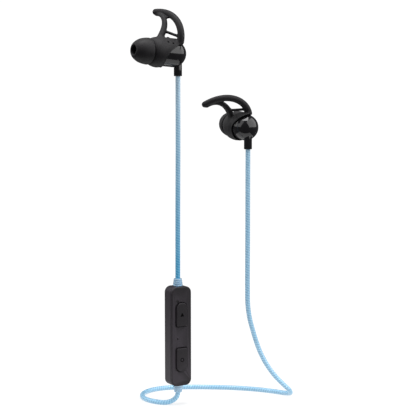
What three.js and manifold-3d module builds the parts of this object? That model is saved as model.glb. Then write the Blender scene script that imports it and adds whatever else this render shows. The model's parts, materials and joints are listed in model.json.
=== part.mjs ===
// Neckband earphones: two earbuds with silicone ear fins and ear tips, joined by a thin cord
// that carries a control box. Millimetres, +Z up. The origin is the mouth of the left ear tip,
// where the wearer's ear holds the set. The set hangs from its buds and its spare cord lies
// in a loop on the surface below.
import * as THREE from "three";
import { mergeVertices } from "three/addons/utils/BufferGeometryUtils.js";
import Module from "manifold-3d";

const wasm = await Module();
wasm.setup();

// ---------- driving dimensions ----------
const GAP = 0.3; // clearance between neighbouring solids
const BALL_RADIUS = 6.85; // round housing of each bud
const SHELL_WALL = 0.9;
const NECK_RADIUS = 6.8; // straight part of the front shell
const NECK_END = 9; // distance of its end from the ball's centre
const NOZZLE_RADIUS = 2.45;
const NOZZLE_START = 12.3;
const NOZZLE_END = 20.2;
const NOZZLE_TILT = 4; // degrees above level
const TIP_BACK = 14.6; // ear tip's skirt edge, along the nozzle from the ball's centre
const TIP_RADIUS = 6.75;
const TIP_MOUTH = 23.4; // front of the ear tip
const SLEEVE_INNER = BALL_RADIUS + GAP;
const SLEEVE_OUTER = 7.8;
const SLEEVE_FRONT = 14.2;
const SLEEVE_STRAIGHT = 9.6; // where its bore starts to close round the neck
const NOZZLE_BORE = 1.6;
const TIP_CORE = 3.1; // radius of the ear tip's bore over the nozzle
const TIP_OPENING = 2.35; // radius of its mouth
const WEB_THICKNESS = 1.2; // of the fin between its two limbs
const STEM_RADIUS = 2.1; // strain relief under each bud
const STEM_OFFSET = 3.1; // its distance behind the ball's centre
const STEM_BOTTOM = -11.3;
const CORD_DIAMETER = 2.5;
const CORD_SIDES = 8;
const BOX_WIDTH = 11.8;
const BOX_DEPTH = 7.6;
const BOX_HEIGHT = 52.1;
const BOX_CORNER = 3.2; // corner radius seen from the front
const BOX_YAW = 31; // degrees, the front turned towards +X
const BOX_BOTTOM = 10.8; // height above the surface under the loop
const BOX_WALL = 1.0;
const COVER_THICKNESS = 1.2;
const BUTTON_WIDTH = 6.4;
const BUTTON_LENGTH = 12.3;
const BUTTON_RISE = 0.8; // how far a button stands out of the front cover
const BOX_RIM = 0.5; // rounding of its front and back rims
const FLANGE_REACH = 0.7; // a button's flange under the front cover
const FLANGE_THICKNESS = 0.5;
const BOARD_THICKNESS = 0.6;
const RELIEF_LENGTH = 3.9;
const FAR = 80; // longer than any piece, for tools that cut right through

// Where each stem stands, how high its ball's centre is above the surface under the loop, where
// its nozzle points and how far its sleeve is turned on it, in degrees.
const LEFT_BUD = { stem: [0.35, 0], height: 182.3, azimuth: 215, mirror: false, sleeveTurn: 0 };
const RIGHT_BUD = { stem: [36.5, 11], height: 144.5, azimuth: 115, mirror: true, sleeveTurn: -30 };

const RADIANS = Math.PI / 180;

// ---------- materials ----------
function plain(color, roughness, metalness = 0, opacity = 1) {
  const transparent = opacity < 1;
  return new THREE.MeshStandardMaterial({ color, roughness, metalness, opacity, transparent });
}

const MATERIALS = {
  gloss: plain(0x0b0b0d, 0.12),
  silicone: plain(0x3a393c, 0.7),
  boxPlastic: plain(0x352f36, 0.6),
  cord: plain(0x7db4e0, 0.35),
  reliefPlastic: plain(0x8cc0ea, 0.35),
  steel: plain(0xb9bcc0, 0.3, 1),
  board: plain(0x1f6b3a, 0.5),
  chip: plain(0x17181a, 0.5),
  pouch: plain(0xc9ccd2, 0.35, 0.6),
  film: plain(0xd8c27a, 0.4),
  lens: plain(0xe6eef5, 0.2),
};

// ---------- solids ----------
function solid(geometry) {
  const bare = geometry.clone();
  for (const name of Object.keys(bare.attributes)) {
    if (name !== "position") bare.deleteAttribute(name);
  }
  const merged = mergeVertices(bare, 1e-4);
  const position = merged.attributes.position;
  const index = merged.index.array;
  const kept = [];
  let volume = 0;
  const [a, b, c] = [new THREE.Vector3(), new THREE.Vector3(), new THREE.Vector3()];
  for (let i = 0; i < index.length; i += 3) {
    const [p, q, r] = [index[i], index[i + 1], index[i + 2]];
    if (p === q || q === r || r === p) continue;
    kept.push(p, q, r);
    a.fromBufferAttribute(position, p);
    b.fromBufferAttribute(position, q);
    c.fromBufferAttribute(position, r);
    volume += a.dot(b.cross(c));
  }
  if (volume < 0) kept.reverse();
  const mesh = new wasm.Mesh({
    numProp: 3,
    vertProperties: new Float32Array(position.array),
    triVerts: new Uint32Array(kept),
  });
  return new wasm.Manifold(mesh);
}

function geometryOf(manifold) {
  const mesh = manifold.getMesh();
  const geometry = new THREE.BufferGeometry();
  geometry.setAttribute("position", new THREE.BufferAttribute(mesh.vertProperties, 3));
  geometry.setIndex(new THREE.BufferAttribute(mesh.triVerts, 1));
  geometry.computeVertexNormals();
  return geometry;
}

function joined(...solids) {
  return solids.reduce((sum, next) => sum.add(next));
}

function cut(body, ...tools) {
  return tools.reduce((rest, tool) => rest.subtract(tool), body);
}

// A profile of [along, radius] points turned about the X axis.
function turned(profile, segments = 22) {
  const points = profile.map(([along, radius]) => new THREE.Vector2(radius, along));
  const geometry = new THREE.LatheGeometry(points, segments);
  geometry.rotateZ(-Math.PI / 2);
  return solid(geometry);
}

function box(sizeX, sizeY, sizeZ, x, y, z) {
  return solid(new THREE.BoxGeometry(sizeX, sizeY, sizeZ).translate(x, y, z));
}

function ball(radius, segments = 22) {
  return solid(new THREE.SphereGeometry(radius, segments, segments / 2));
}

// A cylinder along X, Y or Z whose centre is at (x, y, z).
function rod(axis, radius, length, x, y, z, segments = 16) {
  const geometry = new THREE.CylinderGeometry(radius, radius, length, segments);
  if (axis === "x") geometry.rotateZ(-Math.PI / 2);
  if (axis === "z") geometry.rotateX(Math.PI / 2);
  return solid(geometry.translate(x, y, z));
}

// The skin over a row of rings with equal point counts; `ends` closes its two ends.
function skin(rings, ends) {
  const count = rings[0].length;
  const vertices = rings.flat();
  const index = [];
  const bands = ends ? rings.length - 1 : rings.length;
  for (let i = 0; i < bands; i++) {
    const here = i * count;
    const next = ((i + 1) % rings.length) * count;
    for (let j = 0; j < count; j++) {
      const k = (j + 1) % count;
      index.push(here + j, next + j, next + k, here + j, next + k, here + k);
    }
  }
  if (ends) {
    for (const [start, flip] of [[0, false], [(rings.length - 1) * count, true]]) {
      const centre = new THREE.Vector3();
      for (let j = 0; j < count; j++) centre.add(vertices[start + j]);
      vertices.push(centre.divideScalar(count));
      const hub = vertices.length - 1;
      for (let j = 0; j < count; j++) {
        const pair = [start + j, start + ((j + 1) % count)];
        if (flip) pair.reverse();
        index.push(hub, ...pair);
      }
    }
  }
  const geometry = new THREE.BufferGeometry().setFromPoints(vertices);
  geometry.setIndex(index);
  return solid(geometry);
}

// A round limb along a smooth curve, with its radius changing evenly from root to end.
function limb(curve, rootRadius, endRadius, steps, sides = 8) {
  const frames = curve.computeFrenetFrames(steps, false);
  const rings = [];
  for (let i = 0; i <= steps; i++) {
    const t = i / steps;
    const radius = rootRadius + (endRadius - rootRadius) * t;
    const centre = curve.getPointAt(t);
    const ring = [];
    for (let j = 0; j < sides; j++) {
      const angle = (j / sides) * 2 * Math.PI;
      const offset = frames.normals[i].clone().multiplyScalar(Math.cos(angle) * radius);
      offset.addScaledVector(frames.binormals[i], Math.sin(angle) * radius);
      ring.push(centre.clone().add(offset));
    }
    rings.push(ring);
  }
  return skin(rings, true);
}

function curveThrough(points) {
  return new THREE.CatmullRomCurve3(points.map((p) => new THREE.Vector3(...p)));
}

// A rounded rectangle or a D outline, as a THREE.Shape in its own plane.
function roundedOutline(width, height, radii) {
  const [x, y] = [width / 2, height / 2];
  const [bottomLeft, bottomRight, topRight, topLeft] = radii;
  const shape = new THREE.Shape();
  shape.moveTo(-x + bottomLeft, -y);
  shape.lineTo(x - bottomRight, -y);
  shape.absarc(x - bottomRight, -y + bottomRight, bottomRight, -Math.PI / 2, 0);
  shape.lineTo(x, y - topRight);
  shape.absarc(x - topRight, y - topRight, topRight, 0, Math.PI / 2);
  shape.lineTo(-x + topLeft, y);
  shape.absarc(-x + topLeft, y - topLeft, topLeft, Math.PI / 2, Math.PI);
  shape.lineTo(-x, -y + bottomLeft);
  shape.absarc(-x + bottomLeft, -y + bottomLeft, bottomLeft, Math.PI, 1.5 * Math.PI);
  return shape;
}

// An outline drawn in X and Z, extruded along Y from `front` to `back`, with rounded rims.
function slab(shape, front, back, bevel = 0, curveSegments = 4) {
  const geometry = new THREE.ExtrudeGeometry(shape, {
    depth: back - front - 2 * bevel,
    bevelEnabled: bevel > 0,
    bevelThickness: bevel,
    bevelSize: bevel,
    bevelOffset: -bevel,
    bevelSegments: 2,
    curveSegments,
  });
  geometry.translate(0, 0, bevel);
  geometry.rotateX(Math.PI / 2);
  geometry.translate(0, back, 0);
  return solid(geometry);
}

// ---------- assembly ----------
const set = new THREE.Group();

function addPart(parent, name, manifold, material, mirror = false) {
  const geometry = geometryOf(mirror ? manifold.mirror([0, 1, 0]) : manifold);
  const mesh = new THREE.Mesh(geometry, material);
  mesh.name = name;
  parent.add(mesh);
  return mesh;
}

// ---------- earbud: +X runs out along the nozzle, +Z is up ----------
const SEAM_NORMAL = new THREE.Vector3(-0.903, 0.09, -0.42).normalize(); // points to the back shell

// Everything on the given side of the plane between the two shells, in a frame tilted up.
function seamHalf(side, tilt) {
  const block = new THREE.BoxGeometry(FAR, FAR, FAR).translate(0, 0, FAR / 2 + GAP / 2);
  const normal = SEAM_NORMAL.clone().multiplyScalar(side);
  normal.applyAxisAngle(new THREE.Vector3(0, 1, 0), tilt * RADIANS);
  const turn = new THREE.Quaternion().setFromUnitVectors(new THREE.Vector3(0, 0, 1), normal);
  return solid(block.applyQuaternion(turn));
}

const STEM_TOP = -4; // inside the back shell's wall

function stemRod(radius) {
  const height = STEM_TOP - STEM_BOTTOM;
  return rod("z", radius, height, -STEM_OFFSET, 0, STEM_BOTTOM + height / 2);
}

function backShell() {
  const half = ball(BALL_RADIUS).intersect(seamHalf(1, 0));
  return cut(half, ball(BALL_RADIUS - SHELL_WALL, 16), stemRod(STEM_RADIUS + GAP));
}

function frontShell() {
  const outer = turned([
    [0, 0],
    [0, NECK_RADIUS],
    [NECK_END, NECK_RADIUS],
    [NOZZLE_START, NOZZLE_RADIUS + 0.5],
    [NOZZLE_START, NOZZLE_RADIUS],
    [NOZZLE_END - 1.7, NOZZLE_RADIUS],
    [NOZZLE_END - 1.4, NOZZLE_RADIUS + 0.35],
    [NOZZLE_END - 0.7, NOZZLE_RADIUS + 0.35],
    [NOZZLE_END, NOZZLE_RADIUS - 0.05],
    [NOZZLE_END, 0],
  ]);
  const inner = turned([
    [-1, 0],
    [-1, NECK_RADIUS - SHELL_WALL],
    [NECK_END - 0.4, NECK_RADIUS - SHELL_WALL],
    [NOZZLE_START - 0.8, NOZZLE_BORE],
    [NOZZLE_END - 1, NOZZLE_BORE],
    [NOZZLE_END - 1, 2],
    [NOZZLE_END + 1, 2],
    [NOZZLE_END + 1, 0],
  ]);
  const front = joined(ball(BALL_RADIUS), outer).intersect(seamHalf(-1, NOZZLE_TILT));
  return cut(front, ball(BALL_RADIUS - SHELL_WALL, 16), inner);
}

function strainRelief() {
  return stemRod(STEM_RADIUS);
}

function nozzleMesh() {
  const disc = [
    [0, 0],
    [0, 1.7],
    [0.25, 1.7],
    [0.25, 0],
  ];
  return turned(disc, 16).translate([NOZZLE_END - 0.65, 0, 0]);
}

function driverFrame() {
  const profile = [
    [0.6, 2.2],
    [0.6, 4.4],
    [1.4, 4.9],
    [3.7, 4.9],
    [3.7, 4.4],
    [1.9, 4.3],
    [1.4, 3.8],
    [1.3, 2.2],
    [0.6, 2.2],
  ];
  return turned(profile, 16);
}

function driverMagnet() {
  const profile = [
    [-0.4, 0],
    [-0.4, 1.9],
    [2.2, 1.9],
    [2.2, 0],
  ];
  return turned(profile, 14);
}

function diaphragm() {
  const profile = [
    [3.45, 0],
    [3.35, 1.4],
    [2.95, 2.6],
    [3.25, 3.3],
    [3, 4.05],
    [3.2, 4.05],
    [3.5, 3.3],
    [3.2, 2.6],
    [3.65, 1.5],
    [3.75, 0],
  ];
  return turned(profile, 16);
}

// Silicone ear tip: a core tube over the nozzle and a mushroom skirt, open at the back.
function earTip() {
  return turned([
    [TIP_BACK, TIP_CORE],
    [NOZZLE_END + 0.7, TIP_CORE],
    [NOZZLE_END + 0.7, TIP_OPENING],
    [TIP_MOUTH, TIP_OPENING],
    [TIP_MOUTH, 2.9],
    [22.8, 3.9],
    [21.4, 5.05],
    [19.5, 6.0],
    [17.4, 6.55],
    [TIP_BACK + 0.5, TIP_RADIUS],
    [TIP_BACK, TIP_RADIUS - 0.2],
    [TIP_BACK + 0.1, 6.1],
    [17, 5.9],
    [19, 5.25],
    [20.3, 4.4],
    [20.1, 3.9],
    [TIP_BACK, TIP_CORE + 0.7],
    [TIP_BACK, TIP_CORE],
  ]);
}

// The sleeve's rim is cut on a slant, and a tongue of it reaches back under the fin's root.
// Its angles are degrees round the nozzle from the top, towards +Y.
const RIM_MIDDLE = 4.8; // how far forward of the ball's centre the slanted cut lies on average
const RIM_SLANT = 3.2;
const RIM_FRONT_ANGLE = 130; // where the cut is furthest forward
const TONGUE_REACH = 7.4;
const TONGUE_ANGLE = 20;

function rimAt(angle) {
  const slant = RIM_SLANT * Math.cos(angle - RIM_FRONT_ANGLE * RADIANS);
  const tongue = TONGUE_REACH * Math.max(0, Math.cos(angle - TONGUE_ANGLE * RADIANS)) ** 2;
  return RIM_MIDDLE + slant - tongue;
}

const SHOULDER = 10.5; // where the sleeve's outside starts to narrow

// The sleeve that grips the front shell; its wall runs from the slanted rim to the front collar.
function sleeveWall() {
  const around = 28;
  const rings = [];
  for (let i = 0; i < around; i++) {
    const angle = (i / around) * 2 * Math.PI;
    const rim = rimAt(angle);
    const profile = [
      [rim, SLEEVE_INNER],
      [rim, SLEEVE_OUTER - 0.1],
      [(rim + SHOULDER) / 2, SLEEVE_OUTER],
      [SHOULDER, SLEEVE_OUTER - 0.1],
      [12.4, 7.2],
      [13.7, 6.5],
      [SLEEVE_FRONT, 5.8],
      [SLEEVE_FRONT, 3.3],
      [SLEEVE_FRONT - 1.2, 3.3],
      [SLEEVE_FRONT - 1.4, 5.2],
      [11, 6.9],
      [SLEEVE_STRAIGHT, SLEEVE_INNER],
    ];
    rings.push(
      profile.map(([along, radius]) => {
        return new THREE.Vector3(along, radius * Math.sin(angle), radius * Math.cos(angle));
      }),
    );
  }
  return skin(rings, false);
}

const FIN_SWELL = 0.92; // below 1, so that the limbs leave the sleeve steeply and level out

// A limb of the fin is a spiral round the nozzle's axis, from its root in the sleeve to its end.
// Each end has its distance from the axis, its angle from the top and its place along the nozzle;
// `turning` and `moving` say how much of the change in the last two is done at a share of the way.
class FinLimb extends THREE.Curve {
  constructor(root, end, turning, moving) {
    super();
    Object.assign(this, { root, end, turning, moving });
  }

  getPoint(share, target = new THREE.Vector3()) {
    const { root, end } = this;
    const { lerp } = THREE.MathUtils;
    const radius = lerp(root.radius, end.radius, share ** FIN_SWELL);
    const angle = lerp(root.angle, end.angle, this.turning(share)) * RADIANS;
    const along = lerp(root.along, end.along, this.moving(share));
    return target.set(along, radius * Math.sin(angle), radius * Math.cos(angle));
  }
}

const steady = (share) => share;
const late = (share) => share ** 3;
const early = (share) => 1 - (1 - share) ** 3;
const FIN_RIB = new FinLimb(
  { radius: 7.5, angle: 38, along: -1.2 },
  { radius: 25.2, angle: -32, along: 3.2 },
  steady,
  late,
);
const FIN_INNER = new FinLimb(
  { radius: 7.4, angle: -12, along: 7.2 },
  { radius: 24, angle: -32, along: 2.8 },
  late,
  early,
);
const RIB_RADII = [1.85, 1.6]; // at its root and at its end
const INNER_RADII = [1.75, 1.1];
const STRUT_RADIUS = 0.7;
const FIN_TIP_RADIUS = 1.62;
const WEB_START = 0.62; // share of the way along the limbs where the web begins
const FIN_STRUT = new THREE.LineCurve3(FIN_INNER.getPoint(0.22), FIN_RIB.getPoint(0.1));

// The thin web that fills the fin between its rib and its inner limb, near the tip.
function finWeb() {
  const half = WEB_THICKNESS / 2;
  const steps = 6;
  const rings = [];
  for (let i = 0; i <= steps; i++) {
    const share = WEB_START + ((0.97 - WEB_START) * i) / steps; // ends inside the tip
    const rib = FIN_RIB.getPoint(share);
    const inner = FIN_INNER.getPoint(share);
    const ring = [];
    for (const [point, side] of [[rib, -half], [rib, half], [inner, half], [inner, -half]]) {
      ring.push(point.clone().add(new THREE.Vector3(side, 0, 0)));
    }
    rings.push(ring);
  }
  return skin(rings, true);
}

function earFin() {
  const tip = FIN_RIB.getPoint(1);
  const tipBall = solid(new THREE.SphereGeometry(FIN_TIP_RADIUS, 10, 6).translate(tip.x, tip.y, tip.z));
  const fin = joined(
    limb(FIN_RIB, ...RIB_RADII, 14),
    limb(FIN_INNER, ...INNER_RADII, 10),
    limb(FIN_STRUT, STRUT_RADIUS, STRUT_RADIUS, 2, 6),
    finWeb(),
    tipBall,
  );
  const bore = [
    [-BALL_RADIUS, 0],
    [-BALL_RADIUS, SLEEVE_INNER],
    [SLEEVE_STRAIGHT, SLEEVE_INNER],
    [11, 6.9],
    [12.8, 5.2],
    [12.8, 0],
  ];
  return joined(sleeveWall(), cut(fin, turned(bore, 28)));
}

function addBud(side, { stem, height, azimuth, mirror, sleeveTurn }) {
  const bud = new THREE.Group();
  bud.name = `${side}_bud`;
  const heading = azimuth * RADIANS;
  const ahead = [STEM_OFFSET * Math.cos(heading), STEM_OFFSET * Math.sin(heading)];
  bud.position.set(stem[0] + ahead[0], stem[1] + ahead[1], height);
  bud.rotation.z = heading;
  set.add(bud);
  const nozzle = new THREE.Group();
  nozzle.name = `${side}_nozzle`;
  nozzle.rotation.y = -NOZZLE_TILT * RADIANS;
  bud.add(nozzle);
  const sleeve = new THREE.Group();
  sleeve.rotation.x = sleeveTurn * RADIANS;
  nozzle.add(sleeve);

  addPart(bud, `${side}_back_shell`, backShell(), MATERIALS.gloss, mirror);
  addPart(nozzle, `${side}_front_shell`, frontShell(), MATERIALS.gloss, mirror);
  addPart(nozzle, `${side}_nozzle_mesh`, nozzleMesh(), MATERIALS.steel, mirror);
  addPart(nozzle, `${side}_driver_frame`, driverFrame(), MATERIALS.steel, mirror);
  addPart(nozzle, `${side}_driver_magnet`, driverMagnet(), MATERIALS.steel, mirror);
  addPart(nozzle, `${side}_diaphragm`, diaphragm(), MATERIALS.film, mirror);
  addPart(nozzle, `${side}_ear_tip`, earTip(), MATERIALS.silicone, mirror);
  addPart(sleeve, `${side}_ear_fin`, earFin(), MATERIALS.silicone, mirror);
  addPart(bud, `${side}_strain_relief`, strainRelief(), MATERIALS.gloss, mirror);
}

// ---------- control box: front on -Y, +Z up, its bottom at height 0 ----------
const FRONT = -BOX_DEPTH / 2;
const BACK = BOX_DEPTH / 2;
const COVER_BACK = FRONT + COVER_THICKNESS;
const BUTTONS = [
  { name: "upper", centre: 37.65, roundTop: true },
  { name: "lower", centre: 13.85, roundTop: false },
];
const LIGHT_AT = [-2.3, 44.6]; // X and height of the status light
const LIGHT_RADIUS = 0.5;
const MICROPHONE_AT = [-2.3, 25];
const MIC_HOLE_RADIUS = 0.4;
const RELIEF_NECK = 1.6; // radius of the box's reliefs where they pass through its wall
const PORT_HEIGHT = 25.5; // centre of the charging socket on the +X side
const PORT_LENGTH = 7.6;
const PORT_THICKNESS = 2.6;
const PORT_CENTRE_Y = 0.4;
const PORT_DEPTH = 3.6;
const FLAP_LENGTH = 10.4;
const FLAP_WIDTH = 3.9;
const FLAP_THICKNESS = 0.9;
const PORT_FACE = BOX_WIDTH / 2 - FLAP_THICKNESS - 2 * GAP; // X of the socket's mouth
const BOARD_LENGTH = 46.6;
const BATTERY_LENGTH = 18.5;
const BATTERY_THICKNESS = 1.6;
const BATTERY_HEIGHT = 40; // of its middle

function boxOutline(inset) {
  const radius = Math.max(BOX_CORNER - inset, 0.5);
  return roundedOutline(BOX_WIDTH - 2 * inset, BOX_HEIGHT - 2 * inset, Array(4).fill(radius));
}

function buttonOutline(roundTop, grow) {
  const width = BUTTON_WIDTH + 2 * grow;
  const round = width / 2 - 0.2;
  const square = 0.8;
  const [top, bottom] = roundTop ? [round, square] : [square, round];
  return roundedOutline(width, BUTTON_LENGTH + 2 * grow, [bottom, bottom, top, top]);
}

function frontCover() {
  const block = slab(boxOutline(0), FRONT, BACK, BOX_RIM);
  const behind = box(FAR, FAR, FAR, 0, COVER_BACK + FAR / 2, 0);
  const plate = cut(block, behind).translate([0, 0, BOX_HEIGHT / 2]);
  const holes = BUTTONS.map(({ centre, roundTop }) => {
    return slab(buttonOutline(roundTop, GAP), FRONT - 1, COVER_BACK + 1).translate([0, 0, centre]);
  });
  const lightHole = rod("y", LIGHT_RADIUS + GAP, 4, LIGHT_AT[0], COVER_BACK, LIGHT_AT[1]);
  const micHole = rod("y", MIC_HOLE_RADIUS, 4, MICROPHONE_AT[0], COVER_BACK, MICROPHONE_AT[1], 12);
  return cut(plate, ...holes, lightHole, micHole);
}

function rearCover() {
  const outer = slab(boxOutline(0), FRONT, BACK, BOX_RIM);
  const ahead = box(FAR, FAR, FAR, 0, COVER_BACK + GAP - FAR / 2, 0);
  const open = cut(outer, ahead);
  const hollow = slab(boxOutline(BOX_WALL), FRONT - 1, BACK - BOX_WALL);
  const shell = cut(open, hollow).translate([0, 0, BOX_HEIGHT / 2]);
  const cordHole = rod("z", RELIEF_NECK + GAP, FAR, 0, 0, BOX_HEIGHT / 2);
  const flapHole = box(4, FLAP_WIDTH, FLAP_LENGTH, BOX_WIDTH / 2, PORT_CENTRE_Y, PORT_HEIGHT);
  return cut(shell, cordHole, flapHole);
}

function button(roundTop) {
  const flangeFront = COVER_BACK + GAP;
  const flangeBack = flangeFront + FLANGE_THICKNESS;
  const cap = slab(buttonOutline(roundTop, 0), FRONT - BUTTON_RISE, flangeFront + 0.2, 0.35);
  const flange = slab(buttonOutline(roundTop, FLANGE_REACH), flangeFront, flangeBack);
  const post = rod("y", 1, 0.5, 0, flangeBack - 0.15, 0, 8);
  return joined(cap, flange, post);
}

function circuitBoard() {
  const width = BOX_WIDTH - 2 * BOX_WALL - 2 * GAP;
  const outline = roundedOutline(width, BOARD_LENGTH, Array(4).fill(1.6));
  const board = slab(outline, 0, BOARD_THICKNESS, 0, 3).translate([0, 0, BOX_HEIGHT / 2]);
  const notchStart = PORT_FACE - PORT_DEPTH - GAP;
  const notch = box(FAR, 4, PORT_LENGTH + 2 * GAP, notchStart + FAR / 2, 0, PORT_HEIGHT);
  return cut(board, notch);
}

function tactSwitch() {
  return joined(box(4.4, 0.8, 4.4, 0, -0.7, 0), rod("y", 1, 0.5, 0, -1.15, 0, 8));
}

function battery() {
  const outline = roundedOutline(BOX_WIDTH - 3.4, BATTERY_LENGTH, Array(4).fill(0.8));
  const front = BOARD_THICKNESS + GAP;
  return slab(outline, front, front + BATTERY_THICKNESS, 0, 2).translate([0, 0, BATTERY_HEIGHT]);
}

// A light pipe from just before the board to just inside the front of its hole.
function statusLight() {
  const [front, back] = [FRONT + 0.15, -0.45];
  return rod("y", LIGHT_RADIUS, back - front, LIGHT_AT[0], (front + back) / 2, LIGHT_AT[1], 12);
}

function microphone() {
  return box(2.2, 0.9, 2.8, MICROPHONE_AT[0], -0.75, MICROPHONE_AT[1]);
}

function chargingSocket() {
  const wall = 0.3;
  const mouthDepth = 2.6;
  const shell = box(PORT_DEPTH, PORT_THICKNESS, PORT_LENGTH, -PORT_DEPTH / 2, 0, 0);
  const hollow = [2 * mouthDepth, PORT_THICKNESS - 2 * wall, PORT_LENGTH - 2 * wall];
  const mouth = box(...hollow, 0, 0, 0);
  const tongue = box(3.2, 0.6, PORT_LENGTH - 2.6, -2, 0, 0);
  const socket = joined(cut(shell, mouth), tongue);
  return socket.translate([PORT_FACE, PORT_CENTRE_Y, PORT_HEIGHT]);
}

// The soft flap over the socket; it swings about a rounded knuckle at its lower end.
const FLAP_KNUCKLE = 0.45;
const FLAP_AXIS = [BOX_WIDTH / 2 - FLAP_KNUCKLE, PORT_HEIGHT - FLAP_LENGTH / 2 + GAP + FLAP_KNUCKLE];

function portCover() {
  const width = FLAP_WIDTH - 2 * GAP;
  const [axisX, bottom] = FLAP_AXIS;
  const length = PORT_HEIGHT + FLAP_LENGTH / 2 - GAP - bottom;
  const plate = box(FLAP_THICKNESS, width, length, BOX_WIDTH / 2 - FLAP_THICKNESS / 2, 0, length / 2);
  const knuckle = rod("y", FLAP_KNUCKLE, width, axisX, 0, 0);
  return joined(plate, knuckle).translate([0, PORT_CENTRE_Y, bottom]);
}

// A tapered sleeve around the cord where it enters the box, held by a collar inside the wall.
function boxRelief(direction) {
  const profile = [
    [-BOX_WALL - 0.9, 0],
    [-BOX_WALL - 0.9, 2.4],
    [-BOX_WALL - GAP, 2.4],
    [-BOX_WALL - GAP, RELIEF_NECK],
    [GAP, RELIEF_NECK],
    [GAP, 2.6],
    [1.2, 2.5],
    [RELIEF_LENGTH, 2.1],
    [RELIEF_LENGTH, 0],
  ];
  const relief = turned(profile, 16).rotate([0, -90 * direction, 0]);
  return relief.translate([0, 0, direction > 0 ? BOX_HEIGHT : 0]);
}

function addControlBox() {
  const control = new THREE.Group();
  control.name = "control_box";
  control.position.set(0, 0, BOX_BOTTOM);
  control.rotation.z = BOX_YAW * RADIANS;
  set.add(control);

  addPart(control, "front_cover", frontCover(), MATERIALS.boxPlastic);
  addPart(control, "rear_cover", rearCover(), MATERIALS.boxPlastic);
  for (const { name, centre, roundTop } of BUTTONS) {
    const cap = addPart(control, `${name}_button`, button(roundTop), MATERIALS.boxPlastic);
    const key = addPart(control, `${name}_switch`, tactSwitch(), MATERIALS.steel);
    cap.position.z = centre;
    key.position.z = centre;
  }
  addPart(control, "circuit_board", circuitBoard(), MATERIALS.board);
  addPart(control, "radio_chip", box(4, 0.8, 4, 1.8, -0.7, 46.6), MATERIALS.chip);
  addPart(control, "battery", battery(), MATERIALS.pouch);
  addPart(control, "status_light", statusLight(), MATERIALS.lens);
  addPart(control, "microphone", microphone(), MATERIALS.steel);
  addPart(control, "charging_socket", chargingSocket(), MATERIALS.steel);
  addPart(control, "port_cover", portCover(), MATERIALS.silicone);
  addPart(control, "top_strain_relief", boxRelief(1), MATERIALS.reliefPlastic);
  addPart(control, "bottom_strain_relief", boxRelief(-1), MATERIALS.reliefPlastic);
}

// ---------- cords ----------
function addCord(name, points, steps) {
  const section = new THREE.Shape();
  section.absarc(0, 0, CORD_DIAMETER / 2, 0, 2 * Math.PI);
  const path = curveThrough(points);
  const options = { steps, extrudePath: path, curveSegments: CORD_SIDES / 2, bevelEnabled: false };
  addPart(set, name, solid(new THREE.ExtrudeGeometry(section, options)), MATERIALS.cord);
}

const LEFT_CORD = [
  [0.35, 0, 170.7],
  [0.3, 0, 135],
  [0.1, 0, 100],
  [0, 0, 67.1],
];

const REST = CORD_DIAMETER / 2; // height of a cord that lies on the surface

// From the box down to the surface, round the loop that lies there, and up to the right bud.
const RIGHT_CORD = [
  [0, 0, 6.6],
  [-0.5, -0.1, 4.7],
  [-2, -0.3, 2.9],
  [-4.4, -0.6, 1.7],
  [-7.4, -0.5, REST],
  [-11.2, 0.8, REST],
  [-15.5, 4.2, REST],
  [-18.6, 9, REST],
  [-19.6, 15, REST],
  [-18.2, 21, REST],
  [-14.5, 26.2, REST],
  [-8.5, 30, REST],
  [0, 31.8, REST],
  [9, 32.2, REST],
  [18, 31.8, REST],
  [26, 31, REST],
  [35, 29.2, REST],
  [43.5, 26.4, REST],
  [51, 22.8, REST],
  [56.8, 18.4, 1.5],
  [59.6, 13.8, 2.6],
  [58.8, 10.3, 5.2],
  [55.4, 9.8, 8.6],
  [51.6, 10.4, 12.4],
  [47.6, 10.8, 17.6],
  [44.2, 11, 23.6],
  [41.6, 11, 30],
  [39.5, 11, 36.8],
  [37.7, 11, 43.6],
  [36.7, 11, 51],
  [36.5, 11, 60],
  [36.5, 11, 84],
  [36.5, 11, 108],
  [36.5, 11, 132.9],
];

addBud("left", LEFT_BUD);
addBud("right", RIGHT_BUD);
addControlBox();
addCord("cord_left", LEFT_CORD, 16);
addCord("cord_right", RIGHT_CORD, 60);

// Put the origin at the mouth of the left ear tip.
set.updateMatrixWorld(true);
const mouth = new THREE.Vector3(TIP_MOUTH, 0, 0);
set.getObjectByName("left_nozzle").localToWorld(mouth);
const group = new THREE.Group();
set.position.copy(mouth).negate();
group.add(set);

export default group;
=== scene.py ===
# Neckband earphones: the finished surfaces and materials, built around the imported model.
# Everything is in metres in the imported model's frame; local shapes are drawn in millimetres.
import json
import math

import bmesh
import bpy
import numpy as np
from mathutils import Matrix, Vector


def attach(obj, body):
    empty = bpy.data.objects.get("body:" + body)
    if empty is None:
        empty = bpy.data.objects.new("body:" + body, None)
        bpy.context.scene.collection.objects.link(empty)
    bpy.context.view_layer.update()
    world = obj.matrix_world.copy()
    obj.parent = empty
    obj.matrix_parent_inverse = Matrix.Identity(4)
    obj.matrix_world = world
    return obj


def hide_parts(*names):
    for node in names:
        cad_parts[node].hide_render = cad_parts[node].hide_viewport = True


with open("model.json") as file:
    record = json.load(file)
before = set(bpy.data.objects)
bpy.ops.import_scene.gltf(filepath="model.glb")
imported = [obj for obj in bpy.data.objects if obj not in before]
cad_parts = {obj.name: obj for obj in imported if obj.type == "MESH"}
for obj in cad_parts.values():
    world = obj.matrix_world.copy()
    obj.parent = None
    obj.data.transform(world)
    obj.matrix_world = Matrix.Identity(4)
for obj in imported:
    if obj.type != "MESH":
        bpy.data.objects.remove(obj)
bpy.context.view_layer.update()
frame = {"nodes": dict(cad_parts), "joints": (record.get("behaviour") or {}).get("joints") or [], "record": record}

MM = 0.001
UP = Vector((0, 0, 1))

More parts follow.
